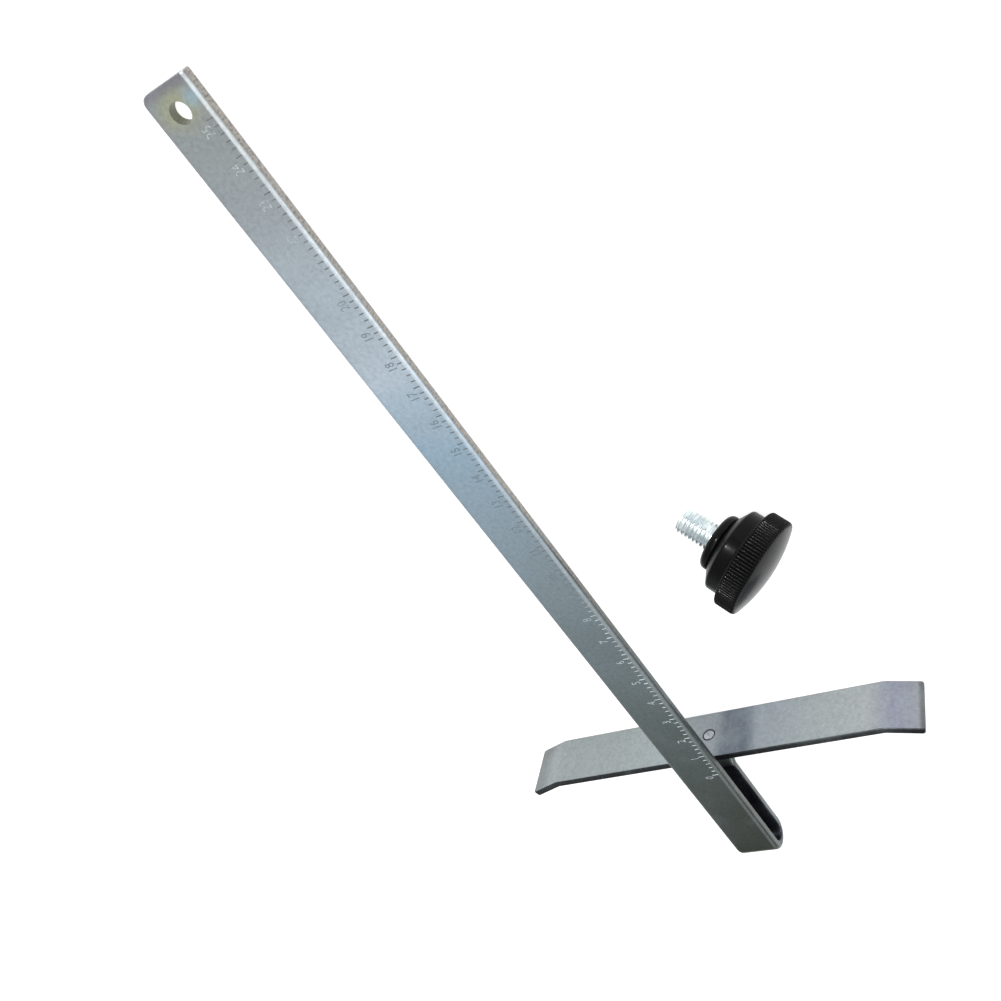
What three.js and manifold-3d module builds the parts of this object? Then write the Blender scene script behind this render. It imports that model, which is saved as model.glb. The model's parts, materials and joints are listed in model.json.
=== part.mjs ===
// Lateral measuring stop of a tile cutter, with its loose clamping knob. Millimetres, +Z up.
//
// The arm is one flat steel bar. It carries the scale on its upper face, turns back under itself
// at the far end and runs back to the fence, where its end is folded down as a tab. The fence
// plate hangs from that tab on one rivet. The stop lies as it would on a bench: scale up, resting
// on the fence's lower edge and on the bar's hole end. The knob lies beside it, on its rim and on
// the tip of its stud.
//
// Arm frame: x runs along the bar from the hole end, y across it, and z = 0 is the scale face.

import * as THREE from 'three';
import { mergeVertices } from 'three/addons/utils/BufferGeometryUtils.js';
import Module from 'manifold-3d';

const wasm = await Module();
wasm.setup();

// ---- driving dimensions -------------------------------------------------------------------
const BAR_WIDTH = 15.2;
const BAR_THICK = 3;
const PLAIN_CORNER = 2.4;      // plan radius of the hole end's corner on the plain edge
const SCALE_CORNER = 0.6;      // and of its corner on the scale's edge
const BAR_EDGE = 0.6;          // bevel of the scale face's two long edges
const HOLE_X = 7;              // hanging hole, from the hole end
const HOLE_DIAMETER = 5.3;
const ARM_LENGTH = 310;        // hole end to the outside of the turn-back
const LOOP_GAP = 6;            // clear height inside the turn-back
const FENCE_X = 263.2;         // the fence's front face, from the hole end
const FOLD_RADIUS = 2;         // inside radius of the fold down to the tab
const TAB_BOTTOM_Z = -25.5;

const FENCE_LENGTH = 143.6;    // tip to tip, along y
const FENCE_HEIGHT = 19;
const FENCE_THICK = 2.5;
const FENCE_TOP_Z = -9;
const FENCE_TIP = 12.9;        // length of each bent-back tip, along the sheet
const FENCE_TIP_ANGLE = 17;    // degrees
const FENCE_BEND_RADIUS = 6;   // centreline radius of the tips' bends
const FENCE_CORNER = 1;

const RIVET_DIAMETER = 3.6;
const RIVET_FACE = 4.6;        // diameter of its front, flush in the fence's counterbore
const RIVET_FACE_DEPTH = 0.9;
const RIVET_HEAD = 5.6;        // diameter of its back head
const RIVET_HEAD_HEIGHT = 0.9;
const RIVET_Z = -18.6;
const CLEARANCE = 0.3;         // between touching pieces

const THREAD_MAJOR = 8;        // M8 stud
const THREAD_PITCH = 1.25;
const THREAD_DEPTH = 0.7;
const STUD_LENGTH = 11;        // from the moulding to the tip
const STUD_BURIED = 9;         // length moulded into the knob
const STUD_ANCHOR = 6.5;       // radius of the stud's moulded-in head
const STUD_ANCHOR_LENGTH = 2.5;
const KNOB_COLLAR = 8.5;       // radii of the knob's steps
const KNOB_BOSS = 12.5;
const KNOB_HEAD = 14.9;
const KNOB_AT = new THREE.Vector2(169, 39.3);   // stud tip on the bench, from the hole end
const KNOB_YAW = 50;           // degrees, direction from the stud to the dome

const STEEL = { color: 0x8b9397, roughness: 0.35, metalness: 0.9 };
const FENCE_STEEL = { color: 0xa2a7aa, roughness: 0.3, metalness: 0.9 };
const BRIGHT_STEEL = { color: 0xd8dfe0, roughness: 0.25, metalness: 1 };
const BLACK_PLASTIC = { color: 0x17181a, roughness: 0.4, metalness: 0 };

// ---- derived places -----------------------------------------------------------------------
const LOOP_RADIUS = (LOOP_GAP + BAR_THICK) / 2;             // centreline of the turn-back
const LOOP_X = ARM_LENGTH - LOOP_RADIUS - BAR_THICK / 2;    // where the turn-back starts
const TOP_LEG_Z = -BAR_THICK / 2;
const LOW_LEG_Z = TOP_LEG_Z - 2 * LOOP_RADIUS;
const FENCE_BACK_X = FENCE_X + FENCE_THICK;
const TAB_X = FENCE_BACK_X + CLEARANCE + BAR_THICK / 2;     // centreline of the tab
const FOLD_CENTRELINE = FOLD_RADIUS + BAR_THICK / 2;
const LEAN = Math.atan((FENCE_HEIGHT - FENCE_TOP_Z - BAR_THICK) / FENCE_X);
const BENCH_Z = -BAR_THICK * Math.cos(LEAN);                // bench height under the leaning arm
const PLAN_DEPTH = 10 - TAB_BOTTOM_Z;                       // a block taller than the folded bar

// ---- helpers ------------------------------------------------------------------------------
function toSolid(geometry) {
  const bare = new THREE.BufferGeometry();
  bare.setAttribute('position', geometry.getAttribute('position'));
  if (geometry.index) bare.setIndex(geometry.index);
  const merged = mergeVertices(bare, 1e-4);
  return new wasm.Manifold(new wasm.Mesh({
    numProp: 3,
    vertProperties: new Float32Array(merged.getAttribute('position').array),
    triVerts: new Uint32Array(merged.index.array),
  }));
}

function toGeometry(solid) {
  const mesh = solid.getMesh();
  const geometry = new THREE.BufferGeometry();
  geometry.setAttribute('position', new THREE.BufferAttribute(new Float32Array(mesh.vertProperties), 3));
  geometry.setIndex(new THREE.BufferAttribute(new Uint32Array(mesh.triVerts), 1));
  geometry.computeVertexNormals();
  return geometry;
}

function named(name, geometry, look) {
  const mesh = new THREE.Mesh(geometry, new THREE.MeshStandardMaterial(look));
  mesh.name = name;
  return mesh;
}

function roundedRectangle(width, height, radius) {
  const shape = new THREE.Shape();
  const x = width / 2;
  const y = height / 2;
  shape.moveTo(-x + radius, -y);
  shape.lineTo(x - radius, -y);
  shape.absarc(x - radius, -y + radius, radius, -Math.PI / 2, 0);
  shape.lineTo(x, y - radius);
  shape.absarc(x - radius, y - radius, radius, 0, Math.PI / 2);
  shape.lineTo(-x + radius, y);
  shape.absarc(-x + radius, y - radius, radius, Math.PI / 2, Math.PI);
  shape.lineTo(-x, -y + radius);
  shape.absarc(-x + radius, -y + radius, radius, Math.PI, Math.PI * 1.5);
  return shape;
}

function extrude(shape, depth, curveSegments = 6) {
  return new THREE.ExtrudeGeometry(shape, { depth, bevelEnabled: false, curveSegments });
}

// A cylinder along x, its middle at the given point.
function cylinderX(radius, length, x, y, z, segments = 32) {
  const geometry = new THREE.CylinderGeometry(radius, radius, length, segments);
  geometry.rotateZ(Math.PI / 2);
  geometry.translate(x, y, z);
  return geometry;
}

// ---- measuring arm ------------------------------------------------------------------------
// Side outline of the folded bar in x and z: out along the top, round the turn-back, back
// underneath and down the tab, then home along the inner side.
function barOutline() {
  const half = BAR_THICK / 2;
  const midZ = (TOP_LEG_Z + LOW_LEG_Z) / 2;
  const foldX = TAB_X + FOLD_CENTRELINE;
  const foldZ = LOW_LEG_Z - FOLD_CENTRELINE;
  const shape = new THREE.Shape();
  shape.moveTo(0, TOP_LEG_Z + half);
  shape.lineTo(LOOP_X, TOP_LEG_Z + half);
  shape.absarc(LOOP_X, midZ, LOOP_RADIUS + half, Math.PI / 2, -Math.PI / 2, true);
  shape.lineTo(foldX, LOW_LEG_Z - half);
  shape.absarc(foldX, foldZ, FOLD_CENTRELINE - half, Math.PI / 2, Math.PI);
  shape.lineTo(TAB_X + half, TAB_BOTTOM_Z);
  shape.lineTo(TAB_X - half, TAB_BOTTOM_Z);
  shape.lineTo(TAB_X - half, foldZ);
  shape.absarc(foldX, foldZ, FOLD_CENTRELINE + half, Math.PI, Math.PI / 2, true);
  shape.lineTo(LOOP_X, LOW_LEG_Z + half);
  shape.absarc(LOOP_X, midZ, LOOP_RADIUS - half, -Math.PI / 2, Math.PI / 2);
  shape.lineTo(0, TOP_LEG_Z - half);
  shape.closePath();
  return shape;
}

// The bar's plan outline, with its two corners at the hole end, as a block that the side outline
// is cut to.
function barPlan() {
  const far = ARM_LENGTH + 10;
  const y = BAR_WIDTH / 2;
  const outline = new THREE.Shape();
  outline.moveTo(far, -y);
  outline.lineTo(far, y);
  outline.lineTo(SCALE_CORNER, y);
  outline.absarc(SCALE_CORNER, y - SCALE_CORNER, SCALE_CORNER, Math.PI / 2, Math.PI);
  outline.lineTo(0, -y + PLAIN_CORNER);
  outline.absarc(PLAIN_CORNER, -y + PLAIN_CORNER, PLAIN_CORNER, Math.PI, Math.PI * 1.5);
  const plan = extrude(outline, PLAN_DEPTH);
  plan.translate(0, 0, TAB_BOTTOM_Z - 5);
  return toSolid(plan);
}

// A 45 degree cutter along each long upper edge of the scale face.
function edgeCutter(side) {
  const reach = BAR_EDGE * Math.SQRT2;
  const cutter = new THREE.BoxGeometry(ARM_LENGTH * 2, reach, reach);
  cutter.rotateX(Math.PI / 4);
  cutter.translate(ARM_LENGTH / 2, side * BAR_WIDTH / 2, 0);
  return toSolid(cutter);
}

function measuringArm() {
  const folded = new THREE.ExtrudeGeometry(barOutline(), {
    depth: BAR_WIDTH, bevelEnabled: false, curveSegments: 14,
  });
  folded.rotateX(Math.PI / 2);
  folded.translate(0, BAR_WIDTH / 2, 0);
  const hole = new THREE.CylinderGeometry(HOLE_DIAMETER / 2, HOLE_DIAMETER / 2, BAR_THICK * 3, 32);
  hole.rotateX(Math.PI / 2);
  hole.translate(HOLE_X, 0, TOP_LEG_Z);
  const rivetHole = cylinderX(RIVET_DIAMETER / 2 + CLEARANCE, BAR_THICK * 3, TAB_X, 0, RIVET_Z);
  const solid = toSolid(folded)
    .intersect(barPlan())
    .subtract(edgeCutter(1))
    .subtract(edgeCutter(-1))
    .subtract(toSolid(hole))
    .subtract(toSolid(rivetHole));
  return named('measuring_arm', toGeometry(solid), STEEL);
}

// ---- fence plate --------------------------------------------------------------------------
// Plan outline of the sheet in y and x. Each tip leans away from the hole end.
function fenceOutline() {
  const lean = THREE.MathUtils.degToRad(FENCE_TIP_ANGLE);
  const run = FENCE_TIP - FENCE_BEND_RADIUS * lean;
  const bendY = FENCE_LENGTH / 2 - FENCE_BEND_RADIUS * Math.sin(lean) - run * Math.cos(lean);
  const steps = 5;
  const face = (radius) => {
    const points = [];
    for (let i = 0; i <= steps; i += 1) {
      const a = (lean * i) / steps;
      points.push([bendY + radius * Math.sin(a), FENCE_BEND_RADIUS - radius * Math.cos(a)]);
    }
    const [y, x] = points[steps];
    points.push([y + run * Math.cos(lean), x + run * Math.sin(lean)]);
    return points;
  };
  const front = face(FENCE_BEND_RADIUS + FENCE_THICK / 2);
  const back = face(FENCE_BEND_RADIUS - FENCE_THICK / 2);
  const right = [...front, ...back.reverse()];
  const left = right.map(([y, x]) => [-y, x]).reverse();
  return new THREE.Shape([...right, ...left].map(([y, x]) => new THREE.Vector2(y, x)));
}

function fencePlate() {
  const sheet = extrude(fenceOutline(), FENCE_HEIGHT);
  sheet.applyMatrix4(new THREE.Matrix4().makeBasis(
    new THREE.Vector3(0, 1, 0),
    new THREE.Vector3(1, 0, 0),
    new THREE.Vector3(0, 0, -1),
  ));
  sheet.translate(FENCE_X + FENCE_THICK / 2, 0, FENCE_TOP_Z);
  const elevation = extrude(roundedRectangle(FENCE_LENGTH, FENCE_HEIGHT, FENCE_CORNER), 40);
  elevation.applyMatrix4(new THREE.Matrix4().makeBasis(
    new THREE.Vector3(0, 1, 0),
    new THREE.Vector3(0, 0, 1),
    new THREE.Vector3(1, 0, 0),
  ));
  elevation.translate(FENCE_X - 10, 0, FENCE_TOP_Z - FENCE_HEIGHT / 2);
  const hole = cylinderX(RIVET_DIAMETER / 2 + CLEARANCE, FENCE_THICK * 4, FENCE_X, 0, RIVET_Z);
  const sink = 2 * (RIVET_FACE_DEPTH + CLEARANCE);
  const counterbore = cylinderX(RIVET_FACE / 2 + CLEARANCE, sink, FENCE_X, 0, RIVET_Z);
  const solid = toSolid(sheet)
    .intersect(toSolid(elevation))
    .subtract(toSolid(hole))
    .subtract(toSolid(counterbore));
  return named('fence_plate', toGeometry(solid), FENCE_STEEL);
}

// ---- fence rivet --------------------------------------------------------------------------
// Flush with the fence's front, where the tile lies, and headed behind the tab.
function fenceRivet() {
  const grip = TAB_X + BAR_THICK / 2 - FENCE_X + CLEARANCE;
  const face = RIVET_FACE / 2;
  const shank = RIVET_DIAMETER / 2;
  const head = RIVET_HEAD / 2;
  const crown = 0.65 * head;
  const profile = [
    [0, 0], [face - 0.2, 0], [face, 0.2], [face, RIVET_FACE_DEPTH], [shank, RIVET_FACE_DEPTH],
    [shank, grip], [head, grip], [head, grip + RIVET_HEAD_HEIGHT * 0.2],
    [crown, grip + RIVET_HEAD_HEIGHT * 0.8], [0, grip + RIVET_HEAD_HEIGHT],
  ].map(([r, h]) => new THREE.Vector2(r, h));
  const geometry = new THREE.LatheGeometry(profile, 24);
  const mesh = named('fence_rivet', geometry, STEEL);
  mesh.rotation.z = -Math.PI / 2;
  mesh.position.set(FENCE_X, 0, RIVET_Z);
  return mesh;
}

// ---- clamping knob ------------------------------------------------------------------------
// Both pieces turn about y here, with the stud's tip at y = 0 and the dome at the far end.
const KNOB_STEPS = {
  collarEnd: STUD_LENGTH + 2.7,
  bossStart: STUD_LENGTH + 5.5,
  headStart: STUD_LENGTH + 9.4,
  headEnd: STUD_LENGTH + 15.7,
  dome: 2.2,
};

function knobProfile() {
  const s = KNOB_STEPS;
  const bore = THREAD_MAJOR / 2 + CLEARANCE;
  const anchor = STUD_ANCHOR + CLEARANCE;
  const roof = STUD_LENGTH + STUD_BURIED + CLEARANCE;
  const shelf = STUD_LENGTH + STUD_BURIED - STUD_ANCHOR_LENGTH - CLEARANCE;
  const points = [
    [0, roof], [anchor, roof], [anchor, shelf], [bore, shelf], [bore, STUD_LENGTH],
    [KNOB_COLLAR - 1.8, STUD_LENGTH], [KNOB_COLLAR - 0.85, STUD_LENGTH + 0.3],
    [KNOB_COLLAR - 0.2, STUD_LENGTH + 1], [KNOB_COLLAR, STUD_LENGTH + 1.8],
    [KNOB_COLLAR, s.collarEnd - 0.3], [KNOB_COLLAR - 0.3, s.collarEnd],
    [KNOB_COLLAR + 0.6, s.collarEnd + 0.5], [KNOB_BOSS - 0.6, s.bossStart - 0.7],
    [KNOB_BOSS, s.bossStart], [KNOB_BOSS, s.headStart - 0.5], [KNOB_BOSS + 0.4, s.headStart],
    [KNOB_HEAD - 0.6, s.headStart], [KNOB_HEAD, s.headStart + 0.6],
    [KNOB_HEAD, s.headEnd - 1], [KNOB_HEAD - 0.3, s.headEnd - 0.4], [KNOB_HEAD - 1, s.headEnd],
  ];
  const domeFoot = KNOB_HEAD - 1;
  const domeRadius = (domeFoot ** 2 + s.dome ** 2) / (2 * s.dome);
  const sweep = Math.asin(domeFoot / domeRadius);
  const steps = 8;
  for (let i = steps - 1; i > 0; i -= 1) {
    const a = (sweep * i) / steps;
    points.push([domeRadius * Math.sin(a), s.headEnd + s.dome - domeRadius * (1 - Math.cos(a))]);
  }
  points.push([0, s.headEnd + s.dome]);
  return points.map(([r, h]) => new THREE.Vector2(r, h));
}

function knobBody() {
  return named('knob_body', new THREE.LatheGeometry(knobProfile(), 48), BLACK_PLASTIC);
}

// The thread is a stack of crests and roots, one to a pitch, on the visible part of the stud.
const FIRST_CREST = THREAD_PITCH * 0.65;

function studProfile() {
  const crest = THREAD_MAJOR / 2;
  const root = crest - THREAD_DEPTH;
  const points = [[0, 0], [root, 0]];
  for (let y = FIRST_CREST; y < STUD_LENGTH - THREAD_PITCH; y += THREAD_PITCH) {
    points.push([crest, y], [crest, y + THREAD_PITCH * 0.2], [root, y + THREAD_PITCH * 0.55]);
  }
  const buried = STUD_LENGTH + STUD_BURIED;
  points.push(
    [crest, STUD_LENGTH - 0.2], [crest, buried - STUD_ANCHOR_LENGTH],
    [STUD_ANCHOR, buried - STUD_ANCHOR_LENGTH], [STUD_ANCHOR, buried], [0, buried],
  );
  return points.map(([r, h]) => new THREE.Vector2(r, h));
}

function knobStud() {
  return named('knob_stud', new THREE.LatheGeometry(studProfile(), 28), BRIGHT_STEEL);
}

// The knob lies on the bench: the stud's first crest touches it at one end, and the back of the
// head's rim at the other.
function clampingKnob() {
  const rim = KNOB_STEPS.headStart + 0.6;
  const crest = THREAD_MAJOR / 2;
  const pitch = Math.atan((KNOB_HEAD - crest) / (rim - FIRST_CREST));
  const axle = new THREE.Group();
  axle.add(knobBody(), knobStud());
  axle.rotation.z = -Math.PI / 2;
  const knob = new THREE.Group();
  knob.add(axle);
  knob.rotation.order = 'ZYX';
  knob.rotation.set(0, -pitch, THREE.MathUtils.degToRad(KNOB_YAW));
  const tipHeight = crest * Math.cos(pitch) - FIRST_CREST * Math.sin(pitch);
  knob.position.set(KNOB_AT.x, KNOB_AT.y, BENCH_Z + tipHeight);
  return knob;
}

// ---- assembly -----------------------------------------------------------------------------
const arm = new THREE.Group();
arm.add(measuringArm(), fencePlate(), fenceRivet());
arm.rotation.y = -LEAN;

const bench = new THREE.Group();
bench.add(arm, clampingKnob());

// The origin is at the middle of the whole part's footprint, on the bench.
const model = new THREE.Group();
model.add(bench);
const box = new THREE.Box3().setFromObject(model, true);
const centre = box.getCenter(new THREE.Vector3());
bench.position.set(-centre.x, -centre.y, -box.min.z);

export default model;
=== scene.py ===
"""Looks of a tile cutter's measuring stop and its loose clamping knob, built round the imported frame.

Metres, in the frame's axes: +X along the bar from its hanging hole, +Y towards the knob, +Z up.
The stop's pieces are built in the arm's own axes: x along the bar from the hole end, y across it,
z = 0 on the scale face. The knob's pieces are built about its axle: z from the stud's tip.
"""

import json
import math

import bmesh
import bpy
from mathutils import Matrix, Quaternion, Vector


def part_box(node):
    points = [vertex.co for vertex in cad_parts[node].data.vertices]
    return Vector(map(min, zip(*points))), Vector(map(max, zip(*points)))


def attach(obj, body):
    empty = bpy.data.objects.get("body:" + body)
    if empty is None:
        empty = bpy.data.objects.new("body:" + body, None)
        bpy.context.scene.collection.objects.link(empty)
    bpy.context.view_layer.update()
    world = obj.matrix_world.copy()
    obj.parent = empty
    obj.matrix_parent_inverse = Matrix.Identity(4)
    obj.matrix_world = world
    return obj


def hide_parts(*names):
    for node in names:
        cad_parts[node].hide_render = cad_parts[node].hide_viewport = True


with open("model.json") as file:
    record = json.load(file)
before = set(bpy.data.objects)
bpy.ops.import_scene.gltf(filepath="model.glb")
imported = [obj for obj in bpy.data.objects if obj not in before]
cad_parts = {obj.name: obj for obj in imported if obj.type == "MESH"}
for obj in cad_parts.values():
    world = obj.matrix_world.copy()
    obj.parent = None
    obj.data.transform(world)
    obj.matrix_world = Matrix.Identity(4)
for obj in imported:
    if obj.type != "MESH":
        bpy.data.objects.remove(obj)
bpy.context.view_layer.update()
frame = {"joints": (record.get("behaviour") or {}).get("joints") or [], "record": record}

MM = 0.001

# ---- driving dimensions ---------------------------------------------------------------------
BAR_WIDTH = 15.2 * MM
BAR_THICK = 3 * MM
SCALE_EDGE = 1.4 * MM          # radius of the scale face's long edges
BACK_EDGE = 0.5 * MM           # radius of the other long edges
END_EDGE = 0.35 * MM           # radius round a sheared end
PLAIN_CORNER = 2.4 * MM        # plan corners at the hole end
SCALE_CORNER = 0.6 * MM
ARM_LENGTH = 310 * MM
LOOP_GAP = 6 * MM
HOLE_X = 7 * MM
HOLE_RADIUS = 2.65 * MM
FOLD_RADIUS = 2 * MM
TAB_BOTTOM_Z = -25.5 * MM
TAB_CORNER = 1.2 * MM
TAB_SHOULDER = 4.5 * MM        # height above the rivet of the tab's one plain section
BEND_FLARE = 0.028             # share by which a bend's inside face widens and its outside narrows
BEND_THINNING = 0.04           # share by which the bar is thinner in a bend

FENCE_X = 263.2 * MM           # the fence's front face
FENCE_LENGTH = 143.6 * MM
FENCE_HEIGHT = 19 * MM
FENCE_THICK = 2.5 * MM
FENCE_TOP_Z = -9 * MM
FENCE_TIP = 12.9 * MM
FENCE_TIP_ANGLE = math.radians(17)
FENCE_BEND_RADIUS = 6 * MM
FENCE_CORNER = 1 * MM
FENCE_EDGE = 0.45 * MM
TAB_GAP = 0.05 * MM            # between the fence's back and the tab
SHANK_ROOM = 0.05 * MM         # round the rivet's shank, in the fence and the tab

RIVET_Z = -18.6 * MM
RIVET_SHANK = 1.8 * MM
RIVET_FACE = 1.95 * MM         # radius of its front face, in the fence's counterbore
RIVET_BACK = 2.8 * MM          # radius of its peened back head

ZERO_TICK_X = 261.3 * MM
TICK_PITCH = 2 * MM
TICKS_PER_CM = 5
CENTIMETRE = TICK_PITCH * TICKS_PER_CM
LAST_NUMBER = 25
TICK_OUTER_Y = 6.5 * MM
LONG_TICK = 2.1 * MM           # length of the tick at each number
SHORT_TICK = 1.5 * MM
TICK_WIDTH = 0.30 * MM
ENGRAVED = 0.15 * MM           # depth of the scale
NUMBER_GAP = 0.4 * MM          # from a tick's line to the near end of its number
WIDE_NUMBER_GAP = 0.8 * MM     # the same for a number of two digits
DIGIT_HEIGHT = 2.8 * MM
DIGIT_NARROW = 0.72            # digits are this much narrower than the built-in font's
DIGIT_BASE_Y = 4.25 * MM

THREAD_PITCH = 1.25 * MM
THREAD_CREST = 4 * MM
THREAD_DEPTH = 0.72 * MM
STUD_LENGTH = 11 * MM
STUD_BURIED = 9 * MM
STUD_ANCHOR = 6.5 * MM
STUD_ANCHOR_LENGTH = 2.5 * MM
COLLAR = 8.5 * MM
BOSS = 12.5 * MM
HEAD = 14.9 * MM
COLLAR_ROUND = 1.8 * MM        # radius of the collar's front edge
COLLAR_END = STUD_LENGTH + 2.7 * MM
BOSS_START = STUD_LENGTH + 5.5 * MM
HEAD_START = STUD_LENGTH + 9.4 * MM
HEAD_END = STUD_LENGTH + 15.7 * MM
DOME = 2.2 * MM
KNURLS = 96
KNURL_DEPTH = 0.35 * MM

# Where the camera stands, from the bar's lower edge at the hole end, and which way it looks.
CAMERA_FROM_HOLE_END = Vector((-0.0359, 0.1665, 0.2200))
CAMERA_AZIMUTH = 135.95
CAMERA_ELEVATION = 41.28
CAMERA_ROLL = -165.8
CAMERA_LENS = 40.87
CAMERA_SENSOR = 36.0
FLOOR_GLOW = 0.75              # the floor gives off light of its own, so its shadows stay faint

MERGE_DISTANCE = 1e-7          # points closer than this are one
DEGENERATE_LENGTH = 1e-8

# ---- derived places -------------------------------------------------------------------------
HALF = BAR_THICK / 2
LOOP_RADIUS = (LOOP_GAP + BAR_THICK) / 2
LOOP_X = ARM_LENGTH - LOOP_RADIUS - HALF
TOP_LEG_Z = -HALF
LOW_LEG_Z = TOP_LEG_Z - 2 * LOOP_RADIUS
TAB_X = FENCE_X + FENCE_THICK + TAB_GAP + HALF
FOLD = FOLD_RADIUS + HALF


def arm_matrix():
    """Arm axes to row axes, from the scale face's mount and the bar's own box."""
    mount = next(m for m in frame["record"]["mounts"] if m["name"] == "scale_face")
    up = Vector(mount["axis"]).normalized()
    along = Vector((up.z, 0, -up.x))
    low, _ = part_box("measuring_arm")
    point = Vector(mount["pos_m"])
    origin = point - along * ((point.x - low.x) / along.x)
    return Matrix.Translation(origin) @ Matrix((along, Vector((0, 1, 0)), up)).transposed().to_4x4()


def knob_matrix():
    """Knob axes to row axes, from the joint that the knob turns on."""
    joint = next(j for j in frame["joints"] if j["name"] == "knob_turn")
    turn = Vector(joint["axis"]).to_track_quat("Z", "Y")
    return Matrix.Translation(Vector(joint["pos_m"])) @ turn.to_matrix().to_4x4()


ARM = arm_matrix()
KNOB = knob_matrix()


# ---- mesh helpers ---------------------------------------------------------------------------
def new_object(name, mesh):
    piece = bpy.data.objects.new(name, mesh)
    bpy.context.scene.collection.objects.link(piece)
    return piece


def merge_points(bm):
    bmesh.ops.remove_doubles(bm, verts=bm.verts, dist=MERGE_DISTANCE)
    bmesh.ops.dissolve_degenerate(bm, edges=bm.edges, dist=DEGENERATE_LENGTH)


def mesh_from(name, bm):
    """A mesh from a finished bmesh, with double points merged and its faces pointing out."""
    merge_points(bm)
    bmesh.ops.recalc_face_normals(bm, faces=bm.faces)
    mesh = bpy.data.meshes.new(name)
    bm.to_mesh(mesh)
    bm.free()
    return mesh


def loft(name, rings):
    """A closed mesh through rings of equally many points, capped at both ends."""
    bm = bmesh.new()
    rows = [[bm.verts.new(p) for p in ring] for ring in rings]
    for a, b in zip(rows, rows[1:]):
        for i in range(len(a)):
            j = (i + 1) % len(a)
            bm.faces.new((a[i], a[j], b[j], b[i]))
    bm.faces.new(rows[0])
    bm.faces.new(rows[-1])
    return mesh_from(name, bm)


def lathe(name, rings, segments, radius=lambda ring, angle: ring[0]):
    """A closed mesh turned about z. Each ring starts (radius, z), and one of radius 0 is a pole."""
    bm = bmesh.new()
    rows = []
    for ring in rings:
        if ring[0] == 0:
            rows.append([bm.verts.new((0, 0, ring[1]))] * segments)
            continue
        row = []
        for i in range(segments):
            a = 2 * math.pi * i / segments
            r = radius(ring, a)
            row.append(bm.verts.new((r * math.cos(a), r * math.sin(a), ring[1])))
        rows.append(row)
    for a, b in zip(rows, rows[1:]):
        for i in range(segments):
            j = (i + 1) % segments
            bm.faces.new(list(dict.fromkeys((a[i], a[j], b[j], b[i]))))
    return mesh_from(name, bm)


def corner_inset(distance, radius):
    """How far a rounded corner of this radius has drawn in, this distance from the end."""
    if distance >= radius:
        return 0.0
    return radius - math.sqrt(radius ** 2 - (radius - distance) ** 2)


def rounded_section(low, high, radii, steps=5):
    """A rounded rectangle's points: radii run (high, high), (low, high), (low, low), (high, low)."""
    corners = [
        (high[0], high[1], 0), (low[0], high[1], 90), (low[0], low[1], 180), (high[0], low[1], 270),
    ]
    points = []
    for (x, y, start), radius in zip(corners, radii):
        cx = x - radius if x == high[0] else x + radius
        cy = y - radius if y == high[1] else y + radius
        for k in range(steps + 1):
            a = math.radians(start + 90 * k / steps)
            points.append((cx + radius * math.cos(a), cy + radius * math.sin(a)))
    return points


def end_distances(reach):
    """Distances from a rounded end that its sections are taken at, closest together at the end."""
    steps = 7
    return [reach * (1 - math.cos(math.pi / 2 * k / steps)) for k in range(steps + 1)]


def boolean_cut(piece, cutter_mesh):
    """Cuts the mesh out of the piece. New faces keep the cutter's material."""
    cutter = new_object("cutter", cutter_mesh)
    cut = piece.modifiers.new("cut", "BOOLEAN")
    cut.operation = "DIFFERENCE"
    cut.solver = "EXACT"
    cut.material_mode = "TRANSFER"
    cut.object = cutter
    bpy.context.view_layer.update()
    whole = piece.evaluated_get(bpy.context.evaluated_depsgraph_get())
    result = bpy.data.meshes.new_from_object(whole)
    piece.modifiers.clear()
    piece.data = result
    bpy.data.objects.remove(cutter)


def mark_material_borders(mesh):
    """Sharp edges wherever two materials meet."""
    bm = bmesh.new()
    bm.from_mesh(mesh)
    for edge in bm.edges:
        if len({face.material_index for face in edge.link_faces}) > 1:
            edge.smooth = False
    bm.to_mesh(mesh)
    bm.free()


def smooth(piece, angle):
    """Smooth shading up to an angle in degrees, with flat faces left flat beside rounded edges."""
    piece.data.shade_smooth()
    piece.data.set_sharp_from_angle(angle=math.radians(angle))
    mark_material_borders(piece.data)
    weighted = piece.modifiers.new("weighted", "WEIGHTED_NORMAL")
    weighted.keep_sharp = True
    weighted.weight = 100
    bpy.context.view_layer.update()
    depsgraph = bpy.context.evaluated_depsgraph_get()
    shown = piece.evaluated_get(depsgraph)
    result = bpy.data.meshes.new_from_object(shown, preserve_all_data_layers=True, depsgraph=depsgraph)
    piece.modifiers.clear()
    piece.data = result


def placed(piece, matrix, angle, body, node):
    """Moves a finished piece from its own axes to its place, smooths its shading, hangs it on its body and
    hides the frame's part that it stands for.
    """
    piece.data.transform(matrix)
    smooth(piece, angle)
    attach(piece, body)
    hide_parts(node)


# ---- node helpers ---------------------------------------------------------------------------
def node(tree, kind, inputs=None, **settings):
    """A new shader node. An input is another node's socket, or a constant."""
    made = tree.nodes.new(kind)
    for key, value in settings.items():
        setattr(made, key, value)
    for key, value in (inputs or {}).items():
        if isinstance(value, bpy.types.NodeSocket):
            tree.links.new(value, made.inputs[key])
        else:
            made.inputs[key].default_value = value
    return made


def maths(tree, operation, *values, clamp=False):
    made = node(tree, "ShaderNodeMath", dict(enumerate(values)), operation=operation, use_clamp=clamp)
    return made.outputs[0]


def noise(tree, vector, scale, detail=3.0, roughness=0.55):
    inputs = {"Vector": vector, "Scale": scale, "Detail": detail, "Roughness": roughness}
    return node(tree, "ShaderNodeTexNoise", inputs).outputs["Fac"]


def stretched(tree, vector, factors):
    made = node(tree, "ShaderNodeVectorMath", {0: vector, 1: factors}, operation="MULTIPLY")
    return made.outputs[0]


def distance_from(tree, place, point):
    made = node(tree, "ShaderNodeVectorMath", {0: place, 1: point}, operation="DISTANCE")
    return made.outputs["Value"]


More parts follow.
